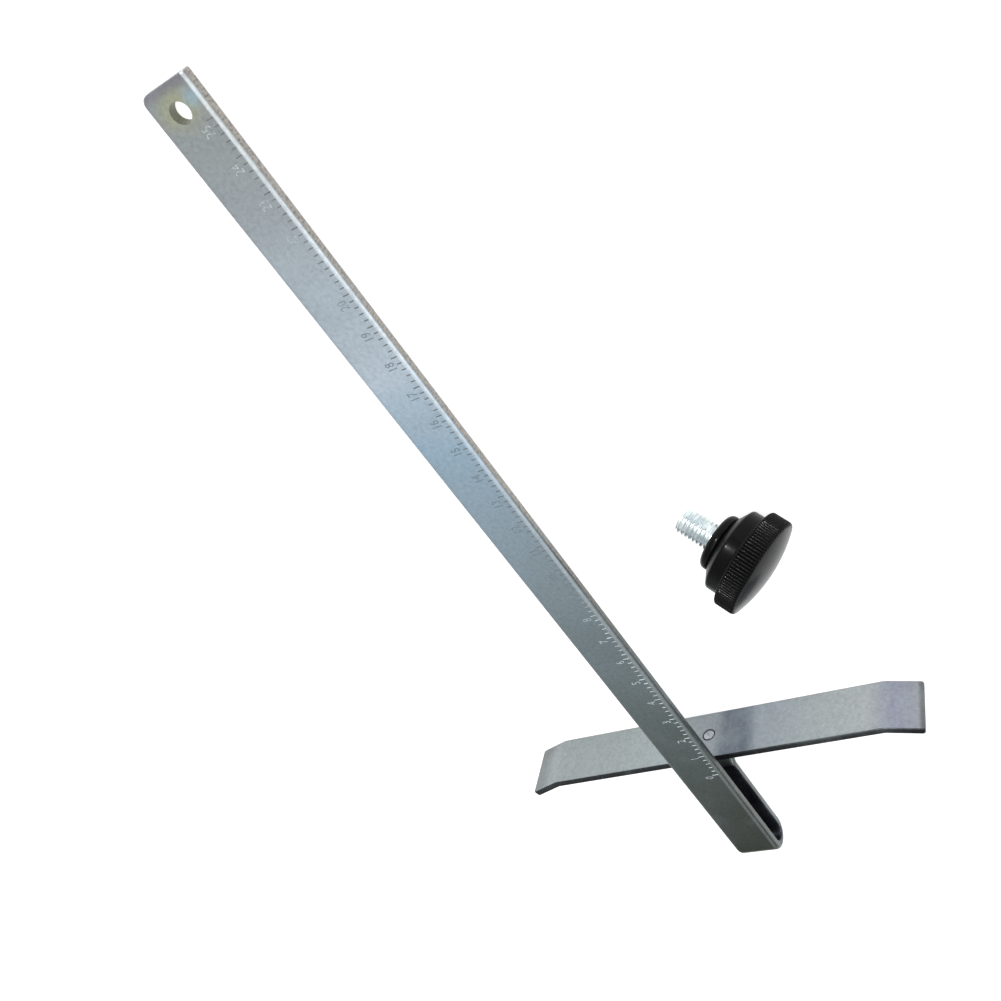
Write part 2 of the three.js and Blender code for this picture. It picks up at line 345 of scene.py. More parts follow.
def band(tree, value, start, full, low=0.0, high=1.0):
    """low up to start, then smoothly to high at full."""
    inputs = {"Value": value, "From Min": start, "From Max": full, "To Min": low, "To Max": high}
    made = node(tree, "ShaderNodeMapRange", inputs, interpolation_type="SMOOTHSTEP")
    return made.outputs["Result"]


def between(tree, value, start, stop, fade):
    """1 from start to stop, fading to 0 outside them."""
    rise = band(tree, value, start - fade, start)
    fall = band(tree, value, stop, stop + fade, 1.0, 0.0)
    return maths(tree, "MULTIPLY", rise, fall)


def tinted(tree, colour, tint, amount, blend="MIX"):
    """The colour with a tint mixed in. The amount is a socket, and each colour may be one too."""
    made = node(tree, "ShaderNodeMix", data_type="RGBA", blend_type=blend)
    inputs = {socket.identifier: socket for socket in made.inputs}
    tree.links.new(amount, inputs["Factor_Float"])
    for name, value in (("A_Color", colour), ("B_Color", tint)):
        if isinstance(value, bpy.types.NodeSocket):
            tree.links.new(value, inputs[name])
        else:
            inputs[name].default_value = (*value, 1.0)
    return next(socket for socket in made.outputs if socket.identifier == "Result_Color")


def ramp(tree, value, stops):
    """A colour for each value, from stops of (value, colour)."""
    made = node(tree, "ShaderNodeValToRGB", {"Fac": value})
    elements = made.color_ramp.elements
    while len(elements) < len(stops):
        elements.new(0.5)
    for element, (position, colour) in zip(elements, stops):
        element.position = position
        element.color = (*colour, 1.0)
    return made.outputs["Color"]


def new_material(name, **constants):
    """A material, its node tree and its shader, with constants set on the shader's own sockets."""
    material = bpy.data.materials.new(name)
    material.use_nodes = True
    shader = material.node_tree.nodes["Principled BSDF"]
    for key, value in constants.items():
        shader.inputs[key.replace("_", " ")].default_value = value
    return material, material.node_tree, shader


def own_axes(tree, matrix):
    """The place on a piece in the axes that it was built in, and its x, y and z there."""
    place = node(tree, "ShaderNodeTexCoord").outputs["Object"]
    inputs = {"Vector": place, "Location": matrix.translation, "Rotation": matrix.to_euler()}
    place = node(tree, "ShaderNodeMapping", inputs, vector_type="TEXTURE").outputs["Vector"]
    axes = node(tree, "ShaderNodeSeparateXYZ", {0: place}).outputs
    return place, axes[0], axes[1], axes[2]


def bumped(tree, shader, height, distance, strength=1.0):
    made = node(tree, "ShaderNodeBump", {"Strength": strength, "Distance": distance, "Height": height})
    tree.links.new(made.outputs["Normal"], shader.inputs["Normal"])


# ---- materials ------------------------------------------------------------------------------
def zinc_finish(tree, shader, place, colour, grain, roughness):
    """Mottled plating over rolled steel: grain stretches the fine lines along the rolling."""
    cloud = noise(tree, place, 55.0, 4.0)
    mottle = noise(tree, place, 800.0, 4.0, 0.7)
    speckle = noise(tree, place, 1400.0, 2.0)
    lines = noise(tree, stretched(tree, place, grain), 1.0, 4.0, 0.65)
    colour = tinted(tree, colour, (0.30, 0.34, 0.36), band(tree, cloud, 0.45, 0.8, 0.0, 0.35))
    colour = tinted(tree, colour, (0.72, 0.75, 0.74), band(tree, speckle, 0.58, 0.80, 0.0, 0.14))
    colour = tinted(tree, colour, (0.20, 0.21, 0.22), band(tree, lines, 0.60, 0.85, 0.0, 0.35))
    dull = band(tree, mottle, 0.46, 0.68, 0.0, 0.3)
    colour = tinted(tree, colour, (0.55, 0.58, 0.60), dull, "MULTIPLY")
    bright = band(tree, mottle, 0.34, 0.48, 0.2, 0.0)
    colour = tinted(tree, colour, (1.45, 1.42, 1.40), bright, "MULTIPLY")
    tree.links.new(colour, shader.inputs["Base Color"])
    rough = maths(tree, "MULTIPLY_ADD", cloud, 0.16, roughness)
    rough = maths(tree, "MULTIPLY_ADD", lines, 0.12, rough)
    tree.links.new(rough, shader.inputs["Roughness"])
    height = maths(tree, "MULTIPLY_ADD", speckle, 0.35, maths(tree, "ADD", lines, mottle))
    bumped(tree, shader, height, 0.03 * MM)


def zinc_bar_material():
    """Palest a quarter of the way along, darkening to the turn-back, with painted shade making its loop
    near black inside.
    """
    material, tree, shader = new_material("zinc_bar", Metallic=0.92)
    place, x, y, z = own_axes(tree, ARM)
    wander = noise(tree, place, 30.0, 2.0)
    along = maths(tree, "MULTIPLY_ADD", wander, 40 * MM, maths(tree, "SUBTRACT", x, 20 * MM))
    colour = ramp(tree, maths(tree, "DIVIDE", along, ARM_LENGTH), [
        (0.00, (0.33, 0.35, 0.34)), (0.12, (0.38, 0.42, 0.44)), (0.27, (0.51, 0.59, 0.65)),
        (0.36, (0.35, 0.47, 0.56)), (0.46, (0.32, 0.40, 0.45)), (0.54, (0.29, 0.35, 0.37)),
        (0.62, (0.25, 0.30, 0.31)), (0.78, (0.18, 0.21, 0.20)), (1.00, (0.09, 0.10, 0.08)),
    ])
    from_hole = distance_from(tree, stretched(tree, place, (1.0, 1.0, 0.0)), (HOLE_X, 0, 0))
    stain = maths(tree, "MULTIPLY", band(tree, from_hole, 3 * MM, 8 * MM, 0.7, 0.0),
                  band(tree, x, 6 * MM, 12 * MM, 1.0, 0.3))
    colour = tinted(tree, colour, (0.42, 0.43, 0.27), stain)
    from_patch = distance_from(tree, place, (5.5 * MM, 5 * MM, 0))
    patch = band(tree, from_patch, 0.5 * MM, 3.5 * MM, 0.6, 0.0)
    colour = tinted(tree, colour, (0.36, 0.52, 0.62), patch)
    sheared = band(tree, x, 0.5 * MM, 3.5 * MM, 0.55, 0.0)
    colour = tinted(tree, colour, (0.20, 0.18, 0.23), sheared)
    # Painted shade: the rounded edge away from the scale darkened.
    plain_edge_shade = band(tree, y, -7.4 * MM, -5.6 * MM, 0.5, 0.0)
    colour = tinted(tree, colour, (0.26, 0.25, 0.28), plain_edge_shade)
    # Painted highlight: a pale line along the rounded edge by the scale, fading towards the fence.
    wear_and_highlight = maths(tree, "MULTIPLY", between(tree, y, 6.5 * MM, 7.0 * MM, 0.3 * MM),
                 band(tree, x, 90 * MM, 262 * MM, 0.40, 0.22))
    colour = tinted(tree, colour, (0.78, 0.82, 0.84), wear_and_highlight)
    # The side face by the scale: grey-brown with dark flecks, partly its own colour and partly painted
    # shade, darkened further towards the fence by painted shade.
    flecks = noise(tree, stretched(tree, place, (2200.0, 700.0, 900.0)), 1.0, 3.0)
    side = band(tree, y, 7.25 * MM, 7.5 * MM)
    cut = tinted(tree, (0.30, 0.28, 0.25), (0.15, 0.14, 0.14), band(tree, flecks, 0.42, 0.72))
    cut = tinted(tree, cut, (0.05, 0.07, 0.07), band(tree, x, 120 * MM, 210 * MM, 0.0, 0.8))
    colour = tinted(tree, colour, cut, side)
    # Painted shade: the faces inside the turn-back's loop are made near black.
    gap_top = -BAR_THICK - 0.1 * MM
    inside = maths(tree, "MULTIPLY", between(tree, z, gap_top - LOOP_GAP, gap_top, 0.3 * MM),
                   band(tree, x, 255 * MM, 265 * MM, 0.0, 0.92))
    colour = tinted(tree, colour, (0.02, 0.02, 0.035), inside)
    # Painted shade: the hole's wall darkened up to its eased rim.
    hole_shade = band(tree, from_hole, HOLE_RADIUS, HOLE_RADIUS + 0.1 * MM, 0.8, 0.0)
    colour = tinted(tree, colour, (0.09, 0.09, 0.06), hole_shade)
    zinc_finish(tree, shader, place, colour, (60.0, 2600.0, 2600.0), 0.22)
    return material


def zinc_fence_material():
    """The fence, with painted shade blackening its top edge and darkening its bent ends, a zone beside the
    arm and a ring round the rivet.
    """
    material, tree, shader = new_material("zinc_fence", Metallic=0.92)
    place, _, y, z = own_axes(tree, ARM)
    share = maths(tree, "MULTIPLY_ADD", y, 1 / FENCE_LENGTH, 0.5)
    colour = ramp(tree, share, [
        (0.00, (0.27, 0.29, 0.29)), (0.10, (0.25, 0.28, 0.28)), (0.25, (0.26, 0.29, 0.29)),
        (0.40, (0.29, 0.33, 0.34)), (0.50, (0.26, 0.29, 0.31)), (0.65, (0.24, 0.27, 0.29)),
        (0.75, (0.27, 0.30, 0.31)), (0.88, (0.31, 0.33, 0.33)), (0.94, (0.22, 0.23, 0.29)),
        (1.00, (0.25, 0.26, 0.28)),
    ])
    # Painted shade on the fence beside the arm.
    shade = maths(tree, "MULTIPLY", between(tree, y, 7 * MM, 13 * MM, 6 * MM), 0.8)
    colour = tinted(tree, colour, (0.075, 0.09, 0.12), shade)
    # Painted shade on the bent-back ends, and along the very end of the +y one.
    tip_shade = maths(tree, "ADD", band(tree, y, -69 * MM, -63 * MM, 0.55, 0.0),
                 band(tree, y, 70 * MM, 71.4 * MM, 0.0, 0.8))
    colour = tinted(tree, colour, (0.09, 0.10, 0.10), tip_shade)
    from_rivet = distance_from(tree, place, (FENCE_X, 0, RIVET_Z))
    # Painted shade in a ring round the rivet, in the gap at its counterbore.
    ring = between(tree, from_rivet, 1.9 * MM, 2.35 * MM, 0.15 * MM)
    colour = tinted(tree, colour, (0.05, 0.05, 0.07), maths(tree, "MULTIPLY", ring, 0.8))
    # Painted shade blackening the fence's top edge.
    top_edge_shade = band(tree, z, FENCE_TOP_Z - 0.5 * MM, FENCE_TOP_Z - 0.2 * MM, 0.0, 0.93)
    colour = tinted(tree, colour, (0.02, 0.02, 0.02), top_edge_shade)
    bottom = FENCE_TOP_Z - FENCE_HEIGHT
    bottom_edge = band(tree, z, bottom, bottom + 0.6 * MM, 0.8, 0.0)
    colour = tinted(tree, colour, (0.10, 0.09, 0.08), bottom_edge)
    zinc_finish(tree, shader, place, colour, (2600.0, 60.0, 2600.0), 0.24)
    return material


def rivet_material():
    material, tree, shader = new_material("rivet_steel", Metallic=0.95)
    place, *_ = own_axes(tree, ARM)
    wear = band(tree, noise(tree, place, 500.0), 0.4, 0.7)
    colour = tinted(tree, (0.42, 0.44, 0.48), (0.26, 0.27, 0.30), wear)
    zinc_finish(tree, shader, place, colour, (900.0, 900.0, 900.0), 0.26)
    return material


def engraving_material(name, dark, start):
    """Dull metal at the bottom of the stamped scale: dark in the middle, and made pale near the fence by a
    painted highlight.

    Start says how pale the painted highlight makes it at the hole end, from 0 to 1."""
    material, tree, shader = new_material(name, Metallic=0.5)
    place, x, _, _ = own_axes(tree, ARM)
    dirt = noise(tree, place, 700.0, 3.0)
    # Painted highlight: the grooves made pale near the fence, and at the hole end as much as start says.
    pale = maths(tree, "MAXIMUM", band(tree, x, 45 * MM, 75 * MM, start, 0.15),
                 band(tree, x, 165 * MM, 190 * MM, 0.15, 1.0))
    pale = maths(tree, "MULTIPLY", pale, band(tree, dirt, 0.30, 0.60, 0.5, 1.0))
    tree.links.new(tinted(tree, dark, (0.58, 0.62, 0.63), pale), shader.inputs["Base Color"])
    tree.links.new(maths(tree, "MULTIPLY_ADD", dirt, 0.2, 0.5), shader.inputs["Roughness"])
    return material


def black_plastic_material():
    material, tree, shader = new_material("black_plastic", Metallic=0.0, Specular_IOR_Level=0.04,
                                          Coat_Weight=0.10, Coat_Roughness=0.12)
    place, _, _, z = own_axes(tree, KNOB)
    grain = noise(tree, place, 1800.0, 3.0)
    flow = noise(tree, place, 140.0, 3.0)
    wear_and_highlight = maths(tree, "MULTIPLY", band(tree, grain, 0.52, 0.8), 0.5)
    colour = tinted(tree, (0.0015, 0.0015, 0.0016), (0.007, 0.007, 0.0075), wear_and_highlight)
    tree.links.new(colour, shader.inputs["Base Color"])
    on_dome = band(tree, z, HEAD_END - 1.0 * MM, HEAD_END, 0.0, 1.0)
    rough = maths(tree, "MULTIPLY_ADD", flow, 0.10, 0.26)
    rough = maths(tree, "MULTIPLY_ADD", on_dome, -0.08, rough)
    tree.links.new(rough, shader.inputs["Roughness"])
    bumped(tree, shader, grain, 0.01 * MM)
    return material


def stud_material():
    material, tree, shader = new_material("stud_steel", Metallic=1.0)
    place, *_ = own_axes(tree, KNOB)
    turned = noise(tree, stretched(tree, place, (300.0, 300.0, 5000.0)), 1.0, 3.0)
    cloud = noise(tree, place, 300.0, 3.0)
    colour = tinted(tree, (0.64, 0.70, 0.72), (0.86, 0.90, 0.90), band(tree, cloud, 0.4, 0.65))
    colour = tinted(tree, colour, (0.36, 0.41, 0.43), band(tree, turned, 0.55, 0.8, 0.0, 0.6))
    tree.links.new(colour, shader.inputs["Base Color"])
    tree.links.new(maths(tree, "MULTIPLY_ADD", turned, 0.15, 0.20), shader.inputs["Roughness"])
    bumped(tree, shader, turned, 0.01 * MM)
    return material


def floor_material():
    material, tree, shader = new_material("floor", Roughness=0.9)
    place = node(tree, "ShaderNodeTexCoord").outputs["Object"]
    colour = tinted(tree, (0.54, 0.54, 0.54), (0.56, 0.56, 0.56), noise(tree, place, 3.0))
    tree.links.new(colour, shader.inputs["Base Color"])
    shader.inputs["Emission Color"].default_value = (1, 1, 1, 1)
    shader.inputs["Emission Strength"].default_value = FLOOR_GLOW
    return material


# ---- measuring bar --------------------------------------------------------------------------
def bar_stations():
    """The bar's centreline: (x, z), the outward normal there, and how far into a bend it is, -1 to 1.

    The top leg's stations are a centimetre apart, between two ticks, so none lies along a tick."""
    first = ZERO_TICK_X - TICK_PITCH / 2 - LAST_NUMBER * CENTIMETRE
    top_count = int((LOOP_X - first) / CENTIMETRE) + 1
    stations = [((first + k * CENTIMETRE, TOP_LEG_Z), (0, 1), 0.0) for k in range(top_count)]
    arc_steps = 24
    for k in range(arc_steps + 1):
        a = math.radians(90 - 180 * k / arc_steps)
        out = (math.cos(a), math.sin(a))
        centre = (LOOP_X + LOOP_RADIUS * out[0], TOP_LEG_Z - LOOP_RADIUS + LOOP_RADIUS * out[1])
        stations.append((centre, out, math.sin(math.pi * k / arc_steps)))
    low_count = int((LOOP_X - TAB_X - FOLD) / CENTIMETRE)
    for k in range(1, low_count + 1):
        stations.append(((LOOP_X - k * CENTIMETRE, LOW_LEG_Z), (0, -1), 0.0))
    fold_steps = 12
    for k in range(fold_steps + 1):
        a = math.radians(90 + 90 * k / fold_steps)
        centre = (TAB_X + FOLD + FOLD * math.cos(a), LOW_LEG_Z - FOLD + FOLD * math.sin(a))
        stations.append((centre, (-math.cos(a), -math.sin(a)), -math.sin(math.pi * k / fold_steps)))
    stations.append(((TAB_X, RIVET_Z + TAB_SHOULDER), (1, 0), 0.0))
    return stations


def bar_ring(centre, normal, bend=0.0, insets=(0.0, 0.0, 0.0)):
    """The bar's section, insets being its plain edge's, its scale edge's and its faces'."""
    plain, scale, face = insets
    low = (-BAR_WIDTH / 2 + plain, -HALF + face)
    high = (BAR_WIDTH / 2 - scale, HALF - face)
    outer = max(SCALE_EDGE - face, 0.1 * MM)
    inner = max(BACK_EDGE - face, 0.1 * MM)
    ring = []
    thin = 1 - BEND_THINNING * abs(bend)
    for y, u in rounded_section(low, high, (outer, outer, inner, inner)):
        spread = 1 - BEND_FLARE * bend * u / HALF
        x = centre[0] + normal[0] * u * thin
        z = centre[1] + normal[1] * u * thin
        ring.append(Vector((x, y * spread, z)))
    return ring


def bar_mesh():
    rings = []
    for t in end_distances(PLAIN_CORNER):
        insets = [corner_inset(t, radius) for radius in (PLAIN_CORNER, SCALE_CORNER, END_EDGE)]
        rings.append(bar_ring((t, TOP_LEG_Z), (0, 1), 0.0, insets))
    for centre, normal, bend in bar_stations():
        rings.append(bar_ring(centre, normal, bend))
    for t in reversed(end_distances(TAB_CORNER)):
        side = corner_inset(t, TAB_CORNER)
        insets = (side, side, corner_inset(t, END_EDGE))
        rings.append(bar_ring((TAB_X, TAB_BOTTOM_Z + t), (1, 0), 0.0, insets))
    return loft("measuring_bar", rings)


def turned_about(mesh, direction, place):
    """Moves a lathe's mesh so that its z axis points in a direction, from a place."""
    turn = Vector(direction).to_track_quat("Z", "Y").to_matrix().to_4x4()
    mesh.transform(Matrix.Translation(Vector(place)) @ turn)
    return mesh


def hole_cutter(radius, depth, flare, direction, place):
    """A through drill with both rims eased. Its middle is at the place."""
    over = 1.0 * MM
    ease = 0.3 * flare
    rings = [
        (0, -depth / 2 - over), (radius + flare + over, -depth / 2 - over),
        (radius + flare, -depth / 2), (radius + ease, -depth / 2 + ease),
        (radius, -depth / 2 + flare), (radius, depth / 2 - flare),
        (radius + ease, depth / 2 - ease), (radius + flare, depth / 2),
        (radius + flare + over, depth / 2 + over), (0, depth / 2 + over),
    ]
    return turned_about(lathe("drill", rings, 64), direction, place)


def tick_prism(bm, x, length):
    """One V-sided tick, its narrow side down."""
    top = 0.1 * MM
    wide = TICK_WIDTH / 2 * (1 + top / ENGRAVED)
    narrow = TICK_WIDTH * 0.12
    corners = []
    for half_x, end, z in ((wide, 0.0, top), (narrow, 0.12 * MM, -ENGRAVED)):
        y0 = TICK_OUTER_Y - length + end
        y1 = TICK_OUTER_Y - end
        corners.append([bm.verts.new(p) for p in (
            (x - half_x, y0, z), (x + half_x, y0, z), (x + half_x, y1, z), (x - half_x, y1, z))])
    upper, lower = corners
    bm.faces.new(upper)
    bm.faces.new(lower)
    for i in range(4):
        j = (i + 1) % 4
        bm.faces.new((upper[i], upper[j], lower[j], lower[i]))


def number_mesh(text):
    """A number as a solid, its right end at x = 0 and its foot at y = 0, read along +x."""
    curve = bpy.data.curves.new("number", "FONT")
    curve.body = text
    curve.align_x = "RIGHT"
    curve.size = 1.0
    curve.resolution_u = 3
    writing = bpy.data.objects.new("number", curve)
    bpy.context.scene.collection.objects.link(writing)
    bpy.context.view_layer.update()
    height = writing.dimensions.y
    curve.extrude = 0.5
    bpy.context.view_layer.update()
    shown = writing.evaluated_get(bpy.context.evaluated_depsgraph_get())
    mesh = bpy.data.meshes.new_from_object(shown)
    bpy.data.objects.remove(writing)
    scale = DIGIT_HEIGHT / height
    right = max(v.co.x for v in mesh.vertices)
    foot = min(v.co.y for v in mesh.vertices)
    mesh.transform(Matrix.Diagonal((scale * DIGIT_NARROW, scale, 2 * ENGRAVED, 1))
                   @ Matrix.Translation((-right, -foot, 0)))
    return mesh


def ticks_cutter():
    """A long tick at each number, and short ones between them."""
    bm = bmesh.new()
    for number in range(LAST_NUMBER + 1):
        x = ZERO_TICK_X - number * CENTIMETRE
        tick_prism(bm, x, LONG_TICK)
        if number > 0:
            for k in range(1, TICKS_PER_CM):
                tick_prism(bm, x + k * TICK_PITCH, SHORT_TICK)
    return mesh_from("ticks", bm)


def numbers_cutter():
    """The numbers, which read along -x with their feet towards the ticks."""
    bm = bmesh.new()
    half_turn = Matrix.Rotation(math.pi, 4, "Z")
    for number in range(LAST_NUMBER + 1):
        x = ZERO_TICK_X - number * CENTIMETRE
        gap = WIDE_NUMBER_GAP if number > 9 else NUMBER_GAP
        mesh = number_mesh(str(number))
        mesh.transform(Matrix.Translation((x + gap, DIGIT_BASE_Y, 0)) @ half_turn)
        bm.from_mesh(mesh)
        bpy.data.meshes.remove(mesh)
    return mesh_from("numbers", bm)


def make_bar():
    mesh = bar_mesh()
    mesh.materials.append(zinc_bar_material())
    bar = new_object("measuring_bar", mesh)
    for radius, flare, direction, place in (
        (HOLE_RADIUS, 0.12 * MM, (0, 0, 1), (HOLE_X, 0, TOP_LEG_Z)),
        (RIVET_SHANK + SHANK_ROOM, 0.1 * MM, (1, 0, 0), (TAB_X, 0, RIVET_Z)),
    ):
        cutter = hole_cutter(radius, BAR_THICK, flare, direction, place)
        cutter.materials.append(mesh.materials[0])
        boolean_cut(bar, cutter)
    for cutter, material in (
        (ticks_cutter(), engraving_material("tick_mark", (0.10, 0.11, 0.11), 0.3)),
        (numbers_cutter(), engraving_material("number_mark", (0.20, 0.25, 0.29), 0.8)),
    ):
        cutter.materials.append(material)
        boolean_cut(bar, cutter)
    placed(bar, ARM, angle=32, body="stop", node="measuring_arm")


# ---- fence ----------------------------------------------------------------------------------
def fence_half_path():
    """The fence's centreline in plan from the middle to a tip: (y, x), and the normal's angle."""
    run = FENCE_TIP - FENCE_BEND_RADIUS * FENCE_TIP_ANGLE
    bend_y = (FENCE_LENGTH / 2 - FENCE_BEND_RADIUS * math.sin(FENCE_TIP_ANGLE)
              - run * math.cos(FENCE_TIP_ANGLE))
    x = FENCE_X + FENCE_THICK / 2
    path = [(0.0, x, 0.0)]
    steps = 8
    for k in range(steps + 1):
        a = FENCE_TIP_ANGLE * k / steps
        along = bend_y + FENCE_BEND_RADIUS * math.sin(a)
        path.append((along, x + FENCE_BEND_RADIUS * (1 - math.cos(a)), a))
    y, x, a = path[-1]
    for t in reversed(end_distances(FENCE_CORNER)):
        path.append((y + (run - t) * math.cos(a), x + (run - t) * math.sin(a), a))
    return path


def fence_mesh():
    half = fence_half_path()
    ends = [corner_inset(t, FENCE_CORNER) for t in end_distances(FENCE_CORNER)]
    faces = [corner_inset(t, END_EDGE) for t in end_distances(FENCE_CORNER)]
    rings = []
    for side in (-1, 1):
        ordered = list(enumerate(half))
        if side < 0:
            ordered = ordered[:0:-1]    # from the tip in, without the middle
        for i, (y, x, a) in ordered:
            from_tip = len(half) - 1 - i
            end = ends[from_tip] if from_tip < len(ends) else 0.0
            face = faces[from_tip] if from_tip < len(faces) else 0.0
            radius = max(FENCE_EDGE - face, 0.1 * MM)
            low = (-FENCE_THICK / 2 + face, FENCE_TOP_Z - FENCE_HEIGHT + end)
            high = (FENCE_THICK / 2 - face, FENCE_TOP_Z - end)
            ring = []
            for u, z in rounded_section(low, high, (radius,) * 4, 4):
                ring.append(Vector((x + u * math.cos(a), side * (y - u * math.sin(a)), z)))
            rings.append(ring)
    return loft("fence_sheet", rings)


def make_fence():
    mesh = fence_mesh()
    mesh.materials.append(zinc_fence_material())
    fence = new_object("fence_sheet", mesh)
    bore = RIVET_SHANK + SHANK_ROOM
    sink = RIVET_FACE + 0.22 * MM
    rim = sink + 0.15 * MM
    over = 1 * MM
    rings = [
        (0, -over), (rim, -over), (rim, 0), (sink, 0.15 * MM), (sink - 0.1 * MM, 0.6 * MM),
        (bore, 0.75 * MM), (bore, FENCE_THICK + over), (0, FENCE_THICK + over),
    ]
    cutter = turned_about(lathe("sink", rings, 48), (1, 0, 0), (FENCE_X, 0, RIVET_Z))
    cutter.materials.append(mesh.materials[0])
    boolean_cut(fence, cutter)
    placed(fence, ARM, angle=32, body="stop", node="fence_plate")


# ---- rivet ----------------------------------------------------------------------------------
def make_rivet():
    """Slightly crowned in front, with a punch mark in its middle, and peened behind."""
    grip = FENCE_THICK + TAB_GAP + BAR_THICK
    front, back = RIVET_FACE, RIVET_BACK
    rings = [
        (0, 0.10 * MM), (0.35 * MM, 0.02 * MM), (0.6 * MM, -0.14 * MM), (0.9 * MM, -0.16 * MM),
        (front - 0.45 * MM, -0.12 * MM), (front - 0.15 * MM, -0.02 * MM), (front, 0.16 * MM),
        (front - 0.06 * MM, 0.60 * MM), (RIVET_SHANK, 0.72 * MM), (RIVET_SHANK, grip),
        (back - 0.1 * MM, grip), (back, grip + 0.12 * MM), (back - 0.15 * MM, grip + 0.40 * MM),
        (back * 0.68, grip + 0.72 * MM), (back * 0.36, grip + 0.86 * MM), (0, grip + 0.9 * MM),
    ]
    mesh = turned_about(lathe("fence_rivet_peened", rings, 48), (1, 0, 0), (FENCE_X, 0, RIVET_Z))
    mesh.materials.append(rivet_material())
    rivet = new_object("fence_rivet_peened", mesh)
    placed(rivet, ARM, angle=50, body="stop", node="fence_rivet")


# ---- clamping knob --------------------------------------------------------------------------
def arc_rings(centre, radius, start, stop, steps):
    """Plain rings along an arc in (radius, z), from one angle to another in degrees."""
    rings = []
    for k in range(steps + 1):
        a = math.radians(start + (stop - start) * k / steps)
        rings.append((centre[0] + radius * math.cos(a), centre[1] + radius * math.sin(a), 0))
    return rings


def knob_rings():
    """The moulding's profile from the anchor's roof down its bore and up its outside to the dome.

    Each ring is (radius, z, depth of its knurls as a share of the full depth)."""
    bore = THREAD_CREST + 0.12 * MM
    room = 0.05 * MM
    anchor = STUD_ANCHOR + room
    roof = STUD_LENGTH + STUD_BURIED + room
    shelf = STUD_LENGTH + STUD_BURIED - STUD_ANCHOR_LENGTH - room
    rings = [(0, roof, 0), (anchor, roof, 0), (anchor, shelf, 0)]
    rings += [(bore, shelf, 0), (bore, STUD_LENGTH, 0)]
    rings += arc_rings((COLLAR - COLLAR_ROUND, STUD_LENGTH + COLLAR_ROUND), COLLAR_ROUND, -90, 0, 9)
    back = 0.4 * MM
    rings += arc_rings((COLLAR - back, COLLAR_END - back), back, 10, 60, 4)
    rings += [(COLLAR - 0.35 * MM, COLLAR_END + 0.05 * MM, 0)]
    rings += [(COLLAR + 0.5 * MM, COLLAR_END + 0.45 * MM, 0)]
    shoulder = 0.9 * MM
    rings += arc_rings((BOSS - shoulder, BOSS_START + 0.2 * MM), shoulder, -52, 0, 6)
    fillet = 0.7 * MM
    rings += [(BOSS, HEAD_START - fillet, 0)]
    rings += arc_rings((BOSS + fillet, HEAD_START - fillet), fillet, 180, 90, 5)
    rim = 0.7 * MM
    foot = HEAD - rim
    for r, z, _ in arc_rings((foot, HEAD_START + rim), rim, -90, 0, 5):
        rings.append((r, z, (r - foot) / rim))
    rings += [(HEAD, HEAD_START + 1.4 * MM, 1), (HEAD, (HEAD_START + HEAD_END) / 2, 1)]
    rings += [(HEAD, HEAD_END - 1.5 * MM, 1)]
    front = 1.1 * MM
    for r, z, _ in arc_rings((HEAD - front, HEAD_END - front), front, 0, 72, 7):
        rings.append((r, z, max(0.0, (r - HEAD + front) / front)))
    last_r, last_z, _ = rings[-1]
    rise = HEAD_END + DOME - last_z
    dome = (last_r ** 2 + rise ** 2) / (2 * rise)
    sweep = math.asin(last_r / dome)
    steps = 16
    for k in range(1, steps):
        a = sweep * (1 - k / steps)
        rings.append((dome * math.sin(a), HEAD_END + DOME - dome * (1 - math.cos(a)), 0))
    rings.append((0, HEAD_END + DOME, 0))
    return rings


def knurled(ring, angle):
    """Straight ridges with rounded crests and narrow valleys."""
    wave = abs(math.sin(angle * KNURLS / 2))
    return ring[0] - KNURL_DEPTH * ring[2] * (1 - wave ** 0.8)


def make_knob_moulding():
    steps_per_knurl = 8
    mesh = lathe("knob_moulding", knob_rings(), KNURLS * steps_per_knurl, knurled)
    mesh.materials.append(black_plastic_material())
    knob = new_object("knob_moulding", mesh)
    placed(knob, KNOB, angle=40, body="knob", node="knob_body")


def thread_radius(z, angle):
    """A right-hand thread's radius at a height and an angle, running out under the moulding.

    The crest's and a flank's widths are shares of the pitch. The tip is a cone, nearly down to the root."""
    crest, flank = 0.14, 0.36
    tip_depth, tip_slope = 0.95, 1.1
    runout = STUD_LENGTH + 0.6 * MM
    turn = (z / THREAD_PITCH - angle / (2 * math.pi)) % 1.0
    away = abs(turn - 0.5)
    depth = min(max((away - crest / 2) / flank, 0.0), 1.0)
    if z > runout:
        depth = 0.5
    tip = THREAD_CREST - THREAD_DEPTH * tip_depth + z * tip_slope
    return min(THREAD_CREST - THREAD_DEPTH * depth, tip)


